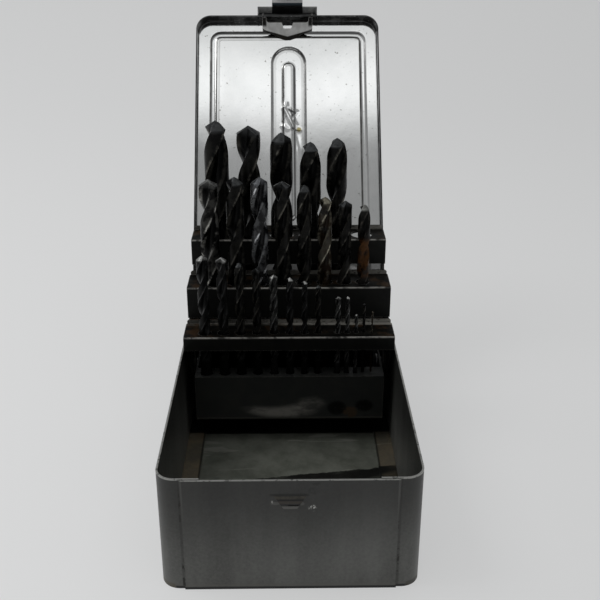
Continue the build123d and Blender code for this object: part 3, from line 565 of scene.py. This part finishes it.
OXIDE = (0.0014, 0.0015, 0.0014)
GROUND = (0.34, 0.34, 0.33)
BLACK = drill_steel("drill_black", OXIDE, (0.095, 0.090, 0.078), (0.052, 0.054, 0.055), specular=0.08)
WORN = drill_steel("drill_worn", OXIDE, (0.42, 0.41, 0.38), (0.16, 0.16, 0.155), specular=0.075)
TIPPED = drill_steel("drill_tipped", (0.0022, 0.0024, 0.0024), (0.07, 0.07, 0.07), GROUND, 0.36)
GREY = drill_steel("drill_grey", (0.006, 0.006, 0.006), (0.30, 0.30, 0.29), GROUND, metal=0.1, specular=0.2)
SILVER = drill_steel(
    "drill_silver",
    tone=(0.004, 0.0042, 0.0052),
    bright=(0.60, 0.61, 0.63),
    point=(0.13, 0.135, 0.145),
    rough=0.24,
    metal=0.05,
    specular=0.2,
)
STRAW = drill_steel(
    "drill_straw",
    tone=(0.004, 0.0035, 0.002),
    bright=(0.40, 0.375, 0.30),
    point=(0.20, 0.19, 0.15),
    rust=0.12,
    metal=0.05,
    specular=0.15,
)
RUSTY = drill_steel(
    "drill_rust",
    tone=(0.0030, 0.0030, 0.0028),
    bright=(0.10, 0.09, 0.08),
    point=(0.20, 0.20, 0.19),
    rough=0.4,
    rust=0.95,
    span=(87.0, 107.0),
)

# ------------------------------------------- materials of the solids shown
TIN = lid_tin()
SHOWN = (
    (tray_paint(), ("tray_centre", "tray_side_left", "tray_side_right")),
    (plain_steel("hinge_steel", (0.3, 0.3, 0.295), 0.4), ("hinge_base_leaf", "hinge_lid_leaf", "hinge_pin")),
    (plain_steel("rivet_steel", (0.22, 0.22, 0.22), 0.38), ("pivot_rivets", "rack_rivets")),
    (bracket_steel(), ("latch_bracket",)),
    (plain_steel("latch_steel", (0.05, 0.05, 0.05), 0.5, metal=0.3), ("latch_pin",)),
    (lever_steel(), ("latch_lever",)),
    (rack_paint(), ("rack_front", "rack_middle", "rack_back")),
    (trough_paint(), ("shank_trough", "stop_ramp_front", "stop_ramp_middle")),
)
for material, nodes in SHOWN:
    for node in nodes:
        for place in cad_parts[node].material_slots:
            place.material = material


# ----------------------------------------------------------- mesh helpers
def make_object(name, verts, faces, material, body, node):
    mesh = bpy.data.meshes.new(name)
    mesh.from_pydata(verts, [], faces)
    mesh.validate()
    mesh.update()
    mesh.materials.append(material)
    mesh.polygons.foreach_set("use_smooth", [True] * len(mesh.polygons))
    made = bpy.data.objects.new(name, mesh)
    bpy.context.scene.collection.objects.link(made)
    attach(made, body)
    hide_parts(node)
    return made


def give_values(made, name, values):
    """Stores one number at each point of a mesh, for its material to read."""
    made.data.attributes.new(name, "FLOAT", "POINT").data.foreach_set("value", values)


# ------------------------------------------------------- drills as meshes
# Each drill: its diameter as its node is named, the turn of its flutes in degrees, its material.
DRILLS = [
    ("13_0", 200, BLACK),
    ("12_5", 249, BLACK),
    ("12_0", 140, BLACK),
    ("11_5", 343, BLACK),
    ("11_0", 299, BLACK),
    ("10_0", 60, WORN),
    ("9_5", 160, BLACK),
    ("9_0", 250, SILVER),
    ("8_5", 330, BLACK),
    ("8_0", 70, BLACK),
    ("7_5", 100, STRAW),
    ("7_0", 180, BLACK),
    ("6_5", 210, RUSTY),
    ("6_0", 10, TIPPED),
    ("5_5", 80, TIPPED),
    ("5_0", 150, BLACK),
    ("4_5", 20, BLACK),
    ("4_2", 240, GREY),
    ("4_0", 300, TIPPED),
    ("3_5", 60, TIPPED),
    ("3_3", 10, BLACK),
    ("3_0", 140, GREY),
    ("2_5", 90, GREY),
    ("2_0", 30, GREY),
    ("1_5", 70, BLACK),
    ("1_0", 0, STRAW),
]
# Points round a section, and how close together the sections stand.
SECTION = 48
RINGS_PER_TURN = 40
SMALLEST_STEP = 0.25
# The point's half angle and the helix angle, as tangents, and half of the angle a flute spans.
POINT = math.tan(math.radians(59.0))
HELIX = math.tan(math.radians(28.0))
FLUTE_HALF = math.radians(50.0)
# The share of a drill's length that is fluted.
FLUTED_SHARE = 0.66
# Shares of the radius: the web, what a flute rises from it, the land behind the margin, the
# shank's chamfer, the length in which a flute runs out, the relief of the point and its rings.
WEB, FLUTE_RISE, CLEARED = 0.27, 0.70, 0.975
SHANK_CHAMFER, RUN_OUT, POINT_RELIEF = 0.12, 1.6, 0.12
POINT_RINGS = (1.0, 0.8, 0.6, 0.4, 0.2, 0.07)
# Where the margin and the wear begin across a land or a flute, then the wear of the rest of the
# land and the most wear that a flute has.
MARGIN_AT, WEAR_AT = 0.82, 0.8
LAND_WEAR, FLUTE_WEAR = 0.12, 0.9


def smooth_step(value):
    value = min(1.0, max(0.0, value))
    return value * value * (3 - 2 * value)


def flute_share(angle):
    """Share of the full radius at an angle round the section, and its wear."""
    folded = (angle + math.pi / 2) % math.pi - math.pi / 2
    from_flute = math.pi / 2 - abs(folded)
    if from_flute >= FLUTE_HALF:
        across = (folded / (math.pi / 2 - FLUTE_HALF) + 1) / 2
        return 1.0 if across > MARGIN_AT else CLEARED, 1.0 if across > WEAR_AT else LAND_WEAR
    t = from_flute / FLUTE_HALF
    share = WEB + FLUTE_RISE * (1 - math.sqrt(max(0.0, 1 - t * t))) ** 0.8
    return share, FLUTE_WEAR * max(0.0, (t - WEAR_AT) / (1 - WEAR_AT))


class Turned:
    """Rings of points about a drill's axis, with the wear and the ground share of each point."""

    def __init__(self, x, y):
        self.x, self.y = x, y
        self.verts, self.wear, self.ground = [], [], []

    def point(self, radius, angle, z, worn, ground):
        x, y = self.x + radius * math.cos(angle), self.y + radius * math.sin(angle)
        self.verts.append((x * MM, y * MM, z * MM))
        self.wear.append(worn)
        self.ground.append(ground)

    def ring(self, radius, z, share, turn):
        """A section of the body, fluted by some share."""
        for i in range(SECTION):
            angle = 2 * math.pi * i / SECTION
            full, worn = flute_share(angle)
            self.point(radius * (1.0 + (full - 1.0) * share), angle + turn, z, worn * share, 0.0)

    def point_ring(self, radius, tip, shrink, turn):
        """A section of the ground point, where each cone face falls away behind its lip."""
        for i in range(SECTION):
            angle = 2 * math.pi * i / SECTION
            full, worn = flute_share(angle)
            r = radius * full * shrink
            behind = 1 - (angle + math.pi / 2) % math.pi / math.pi
            self.point(r, angle + turn, tip - r / POINT - POINT_RELIEF * r * behind, worn, 1.0)

    def faces(self):
        rings = len(self.verts) // SECTION
        made = []
        for k in range(rings - 1):
            a, b = k * SECTION, (k + 1) * SECTION
            for i in range(SECTION):
                j = (i + 1) % SECTION
                made.append((a + i, a + j, b + j, b + i))
        last = (rings - 1) * SECTION
        made.append(tuple(range(SECTION - 1, -1, -1)))
        made.append(tuple(range(last, last + SECTION)))
        return made


def drill_piece(size, phase, material):
    name = f"drill_{size}mm"
    corner, far_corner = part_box(name)
    low, tip = corner.z / MM, far_corner.z / MM
    diameter = (far_corner.x - corner.x) / MM
    radius = diameter / 2
    flute_low = tip - (tip - low) * FLUTED_SHARE
    shoulder = tip - radius / POINT
    lead = math.pi * diameter / HELIX
    step = max(lead / RINGS_PER_TURN, SMALLEST_STEP)
    start = math.radians(phase)
    drill = Turned((corner.x + far_corner.x) / 2 / MM, (corner.y + far_corner.y) / 2 / MM)
    drill.ring(radius * (1.0 - SHANK_CHAMFER), low, 0.0, start)
    for z in (low + radius * SHANK_CHAMFER, low + radius * SHANK_CHAMFER * 1.2, flute_low - 0.2):
        drill.ring(radius, z, 0.0, start)
    z = flute_low
    while z < shoulder - step * 0.5:
        share = smooth_step((z - flute_low) / (radius * RUN_OUT))
        drill.ring(radius, z, share, start + 2 * math.pi * (z - flute_low) / lead)
        z += step
    turn = start + 2 * math.pi * (shoulder - flute_low) / lead
    for shrink in POINT_RINGS:
        drill.point_ring(radius, tip, shrink, turn)
    made = make_object(name + "_looks", drill.verts, drill.faces(), material, name, name)
    give_values(made, "worn", drill.wear)
    give_values(made, "point", drill.ground)
    made.data.set_sharp_from_angle(angle=math.radians(38))


for entry in DRILLS:
    drill_piece(*entry)


# ---------------------------------------------------------- lid as a mesh
LID_BEND = 1.2
BEND_ANGLES = (0.35, 0.7, 1.05, 1.4, math.pi / 2)
# The panel's grid is fine at its border, at the bead and at these places: the sides of the two
# ribs from the panel's middle, their ends from the long rib's ends, and the crumpled place from
# the long rib's front end. Each fine step goes with how far it reaches.
GRID_COARSE = 3.0
GRID_X, REACH_X = 0.42, 2.8
GRID_Y, REACH_Y = 0.5, 5.0
RIB_SIDES = (9.5, 3.3)
RIB_ENDS = (2.0, 9.0)
CRUMPLE = (42.0, 50.0)
# Marks on the tin, measured from the lid's front: where the grime and painted shade over the end by
# the hinge begin, a lighter strip with less painted shade where the tin shows through the gap under
# the back rack, and a small yellow spill.
SHADE_AND_GRIME_FROM = 143.0
STRIP_FROM, STRIP_TO, STRIP_LIGHTER = 151.0, 162.0, 0.34
SPILL_X, SPILL_Y, SPILL_SIZE = 6.7, 71.3, 1.3


def lines(half, marks, fine, reach):
    """Grid lines from -half to half, closer together near the marks."""
    places = [-half]
    while places[-1] < half - 1e-6:
        here = places[-1]
        near = min(abs(here - mark) for mark in marks)
        step = fine if near < reach else min(GRID_COARSE, max(fine, near - reach + fine))
        places.append(min(half, here + step))
    return places


def rounded_distance(x, y, half_x, half_y, radius):
    """Distance outside a rounded rectangle, negative inside it."""
    dx, dy = abs(x) - half_x + radius, abs(y) - half_y + radius
    return math.hypot(max(dx, 0), max(dy, 0)) + min(max(dx, dy), 0) - radius


def from_segment(x, y, x0, y0, x1, y1):
    """Distance from a point to a straight piece of line."""
    dx, dy = x1 - x0, y1 - y0
    t = min(1.0, max(0.0, ((x - x0) * dx + (y - y0) * dy) / (dx * dx + dy * dy)))
    return math.hypot(x - x0 - t * dx, y - y0 - t * dy)


def lid_form(x, y):
    """How far the panel is pressed outwards, and the distances from its bead and its two ribs."""
    bead_x, bead_y = (side / 2 - BEAD_IN - BEAD_W / 2 for side in (CASE_W, CASE_L))
    bead = rounded_distance(x - BEAD_X, y, bead_x, bead_y, BEAD_CORNER)
    rise = RISE * smooth_step(1.25 - abs(bead) / (BEAD_W / 2))
    middle = -CASE_L / 2 + RIB_AT + RIB_L / 2
    rib = rounded_distance(x - RIB_X, y - middle, RIB_W / 2, RIB_L / 2, RIB_W / 2)
    rise += RIB_RISE * smooth_step(0.5 - rib / RIB_SLOPE)
    inner = rounded_distance(x - RIB_X, y - middle, RIB_IN / 2, RIB_L / 2 - RIB_STEP, RIB_IN / 2)
    rise -= INNER_DROP * smooth_step(0.5 - inner / INNER_SLOPE)
    for *ends, depth, reach in FOLDS:
        away = from_segment(x, y + CASE_L / 2, *ends) / reach
        if away < 3.0:
            rise += depth * math.exp(-away * away)
    return min(rise, MOST_RISE), (bead, rib, inner)


def rounded_place(x, y, half_x, half_y, radius):
    """Moves a grid point so that the grid's outline gets round corners."""
    cx, cy = half_x - radius, half_y - radius
    if abs(x) <= cx or abs(y) <= cy:
        return x, y
    a, b = (abs(x) - cx) / radius, (abs(y) - cy) / radius
    u = a * math.sqrt(max(0.0, 1 - b * b / 2))
    v = b * math.sqrt(max(0.0, 1 - a * a / 2))
    return math.copysign(cx + radius * u, x), math.copysign(cy + radius * v, y)


def lid_grime(x, y):
    """Grime along the rim, and grime with painted shade over the end by the hinge, at a place inside the
    panel.
    """
    along = y + CASE_L / 2
    far = smooth_step((along - SHADE_AND_GRIME_FROM) / 6.0)
    far *= 1.0 - STRIP_LIGHTER * smooth_step((along - STRIP_FROM) / 2.5) * smooth_step((STRIP_TO - along) / 2.5)
    rim = rounded_distance(x, y, CASE_W / 2 - SHEET, CASE_L / 2 - SHEET, CORNER)
    return max(far, 0.9 * smooth_step(1 + rim / 0.9))


class Pan:
    """The lid's sheet as two skins, with the numbers that its material reads at each point."""

    half_x = CASE_W / 2 - LID_BEND
    half_y = CASE_L / 2 - LID_BEND
    corner = CORNER - LID_BEND

    def __init__(self):
        self.verts, self.faces = [], []
        self.inside, self.grime, self.yellow, self.forms = [], [], [], []
        side, end = (length / 2 - BEAD_IN - BEAD_W / 2 for length in (CASE_W, CASE_L))
        rib_front = -CASE_L / 2 + RIB_AT
        rib_back = rib_front + RIB_L
        marks_x = [sign * mark for mark in (self.half_x, side, *RIB_SIDES) for sign in (-1, 1)]
        marks_y = [sign * mark for mark in (self.half_y, end) for sign in (-1, 1)]
        marks_y += [rib_front + mark for mark in (*RIB_ENDS, *CRUMPLE)]
        marks_y += [rib_back - mark for mark in RIB_ENDS]
        self.xs = lines(self.half_x, marks_x, GRID_X, REACH_X)
        self.ys = lines(self.half_y, marks_y, GRID_Y, REACH_Y)

    def point(self, x, y, z, inside, grime, yellow, form):
        self.verts.append(lid_point(x, LID_MIDDLE + y, z))
        self.inside.append(float(inside))
        self.grime.append(grime)
        self.yellow.append(yellow)
        self.forms.append(form)
        return len(self.verts) - 1

    def quad(self, inside, *corners):
        self.faces.append(corners[::-1] if inside else corners)

    def place(self, i, j):
        return rounded_place(self.xs[i], self.ys[j], self.half_x, self.half_y, self.corner)

    def panel(self, inside, top):
        """The pressed panel of one skin. Returns the number of its first point."""
        start, across = len(self.verts), len(self.xs)
        for j in range(len(self.ys)):
            for i in range(across):
                x, y = self.place(i, j)
                rise, form = lid_form(x, y)
                spill = math.hypot(x - SPILL_X, y + CASE_L / 2 - SPILL_Y)
                yellow = inside * smooth_step(1.6 - spill / SPILL_SIZE)
                self.point(x, y, top + rise, inside, inside * lid_grime(x, y), yellow, form)
        for j in range(len(self.ys) - 1):
            for i in range(across - 1):
                a = start + j * across + i
                self.quad(inside, a, a + 1, a + across + 1, a + across)
        return start

    def outline(self):
        """The grid's border, once round."""
        nx, ny = len(self.xs), len(self.ys)
        front = [(i, 0) for i in range(nx)]
        right = [(nx - 1, j) for j in range(1, ny)]
        back = [(i, ny - 1) for i in range(nx - 2, -1, -1)]
        left = [(0, j) for j in range(ny - 2, 0, -1)]
        return front + right + back + left

    def outward(self, x, y):
        """The direction in which the rim leaves the panel at a place on its border."""
        straight_x, straight_y = self.half_x - self.corner, self.half_y - self.corner
        dx = 0.0 if abs(x) < straight_x else x - math.copysign(straight_x, x)
        dy = 0.0 if abs(y) < straight_y else y - math.copysign(straight_y, y)
        size = math.hypot(dx, dy) or 1.0
        return dx / size, dy / size

    def rim(self, inside, start, thinner):
        """The bend and the wall of one skin. Returns the points of its lowest ring."""
        radius, top = LID_BEND - thinner, LID_TOP - thinner
        rows = [(radius * math.sin(turn), top - radius * (1 - math.cos(turn))) for turn in BEND_ANGLES]
        rows += [(radius, LID_RIM + 1.0), (radius, LID_RIM)]
        form = (9.0, 99.0, 99.0)
        border = self.outline()
        loop = [start + j * len(self.xs) + i for i, j in border]
        for out, up in rows:
            grime = 1.0 if inside or up == LID_RIM else 0.0
            ring = []
            for i, j in border:
                x, y = self.place(i, j)
                ux, uy = self.outward(x, y)
                ring.append(self.point(x + ux * out, y + uy * out, up, inside, grime, 0.0, form))
            for k in range(len(loop)):
                n = (k + 1) % len(loop)
                self.quad(inside, loop[k], ring[k], ring[n], loop[n])
            loop = ring
        return loop

    def skin(self, inside, thinner):
        """One whole skin. Returns the points of its lowest ring."""
        return self.rim(inside, self.panel(inside, LID_TOP - thinner), thinner)


def lid_piece():
    pan = Pan()
    outer = pan.skin(inside=0, thinner=0.0)
    inner = pan.skin(inside=1, thinner=SHEET)
    for k in range(len(inner)):
        n = (k + 1) % len(inner)
        pan.faces.append((outer[k], inner[k], inner[n], outer[n]))
    made = make_object("lid_looks", pan.verts, pan.faces, TIN, "lid", "lid_shell")
    give_values(made, "inside", pan.inside)
    give_values(made, "grime", pan.grime)
    give_values(made, "yellow", pan.yellow)
    for name, values in zip(("bead", "rib", "rib_inner"), zip(*pan.forms)):
        give_values(made, name, values)
    made.data.set_sharp_from_angle(angle=math.radians(50))


lid_piece()


# ------------------------------------------------------- floor, light, view
# The floor's share of real shade, its reach in metres, its tone, and how much that tone is painted
# darker away from the viewer and to the right, a painted falloff of the light.
SHADOW_SHARE = 0.4
FLOOR_REACH = 9.0
FLOOR_TONE, FLOOR_FAR, FLOOR_TILT = 0.778, 0.102, 0.15


def stage_floor():
    """A pale surface that keeps its tone in the picture and still takes the shadow."""
    m = Mat("floor")
    viewer_y, near_y, far_y, most = -500.0, -350.0, 950.0, 0.4
    away = m.math("MAXIMUM", m.minus(m.y, viewer_y), 300.0)
    tilt = m.math("MAXIMUM", m.math("MINIMUM", m.math("DIVIDE", m.x, away), most), -most)
    # Painted falloff: darker away from the viewer and to the right.
    tone = m.minus(FLOOR_TONE, m.both(m.step(m.y, near_y, far_y), FLOOR_FAR))
    tone = m.minus(tone, m.both(tilt, FLOOR_TILT))
    rays = m.node("ShaderNodeLightPath").outputs
    seen = m.either(rays["Is Camera Ray"], rays["Is Glossy Ray"])
    grain = m.patches(9.0, (0.3, (0.73, 0.73, 0.73)), (0.7, (0.76, 0.76, 0.76)), 3.0, 0.5)
    m.fill(m.bsdf.inputs["Base Color"], m.mix(seen, grain, faded((0.74, 0.74, 0.745), SHADOW_SHARE)))
    m.fill(m.bsdf.inputs["Roughness"], 0.9)
    m.fill(m.bsdf.inputs["Specular IOR Level"], 0.05)
    m.fill(m.bsdf.inputs["Emission Color"], (0.995, 1.0, 1.0))
    m.fill(m.bsdf.inputs["Emission Strength"], m.both(tone, 1.0 - SHADOW_SHARE, seen))
    mesh = bpy.data.meshes.new("floor")
    corners = [(x * FLOOR_REACH, y * FLOOR_REACH, 0) for x, y in ((-1, -1), (1, -1), (1, 1), (-1, 1))]
    mesh.from_pydata(corners, [], [(0, 1, 2, 3)])
    mesh.materials.append(m.mat)
    floor = bpy.data.objects.new("floor", mesh)
    bpy.context.scene.collection.objects.link(floor)


stage_floor()

# Brightness by height, the sine of the elevation: a lit ceiling with a sharp lower edge.
SKY = (
    (0.0, 0.33),
    (0.50, 0.43),
    (0.66, 0.38),
    (0.72, 0.34),
    (0.797, 0.34),
    (0.824, 1.30),
    (0.843, 1.28),
    (0.853, 0.98),
    (0.87, 0.76),
    (1.0, 0.72),
)
SKY_FRONT, SKY_SIDE = 0.2, 0.12


def sky():
    """A soft light from above, brightest over the camera, dark low down behind it."""
    world = bpy.data.worlds.new("world")
    bpy.context.scene.world = world
    world.use_nodes = True
    tree = world.node_tree
    background = tree.nodes["Background"]

    def calc(kind, a, b):
        made = tree.nodes.new("ShaderNodeMath")
        made.operation = kind
        for socket, value in zip(made.inputs, (a, b)):
            if isinstance(value, (int, float)):
                socket.default_value = value
            else:
                tree.links.new(value, socket)
        return made.outputs[0]

    def rise(value, low, high, start, end):
        made = tree.nodes.new("ShaderNodeMapRange")
        made.interpolation_type = "SMOOTHSTEP"
        tree.links.new(value, made.inputs["Value"])
        for name, number in (("From Min", low), ("From Max", high), ("To Min", start), ("To Max", end)):
            made.inputs[name].default_value = number
        return made.outputs["Result"]

    parts = tree.nodes.new("ShaderNodeSeparateXYZ")
    tree.links.new(tree.nodes.new("ShaderNodeTexCoord").outputs["Generated"], parts.inputs[0])
    x, y, z = parts.outputs
    bands = tree.nodes.new("ShaderNodeValToRGB")
    bands.color_ramp.interpolation = "LINEAR"
    marks = bands.color_ramp.elements
    while len(marks) < len(SKY):
        marks.new(0.5)
    for mark, (height, tone) in zip(marks, SKY):
        mark.position = height
        mark.color = (tone, tone, tone, 1.0)
    tree.links.new(z, bands.inputs["Fac"])
    front = rise(y, -0.55, 0.15, SKY_FRONT, 1.0)
    low = rise(z, 0.35, 0.62, 1.0, 0.0)
    dim = calc("SUBTRACT", 1.0, calc("MULTIPLY", low, calc("SUBTRACT", 1.0, front)))
    side = calc("ADD", 1.0, calc("MULTIPLY", x, -SKY_SIDE))
    strength = calc("MULTIPLY", calc("MULTIPLY", bands.outputs["Color"], dim), side)
    tree.links.new(strength, background.inputs["Strength"])
    background.inputs["Color"].default_value = (0.98, 0.995, 1.0, 1.0)


sky()


def lamp(name, place, aim, size, power):
    data = bpy.data.lights.new(name, "AREA")
    data.shape = "RECTANGLE"
    data.size, data.size_y = size
    data.energy = power
    made = bpy.data.objects.new(name, data)
    bpy.context.scene.collection.objects.link(made)
    made.location = place
    made.rotation_mode = "QUATERNION"
    made.rotation_quaternion = (Vector(aim) - Vector(place)).to_track_quat("-Z", "Y")


lamp("upper_left", (-0.95, 0.05, 1.35), (0, 0, 0.05), (0.7, 0.7), 5.0)

# The camera stands where the photograph's edges put it: metres, and degrees down and aside.
CAMERA_PLACE = (-0.0003, -0.40505, 0.2774)
CAMERA_DOWN, CAMERA_ASIDE = 23.97, -0.78
camera_data = bpy.data.cameras.new("camera")
camera_data.sensor_width = 36.0
camera_data.lens = 55.78
camera = bpy.data.objects.new("camera", camera_data)
bpy.context.scene.collection.objects.link(camera)
camera.location = CAMERA_PLACE
camera.rotation_euler = (math.radians(90 - CAMERA_DOWN), 0.0, math.radians(CAMERA_ASIDE))
bpy.context.scene.camera = camera
bpy.context.scene.view_settings.view_transform = "Standard"
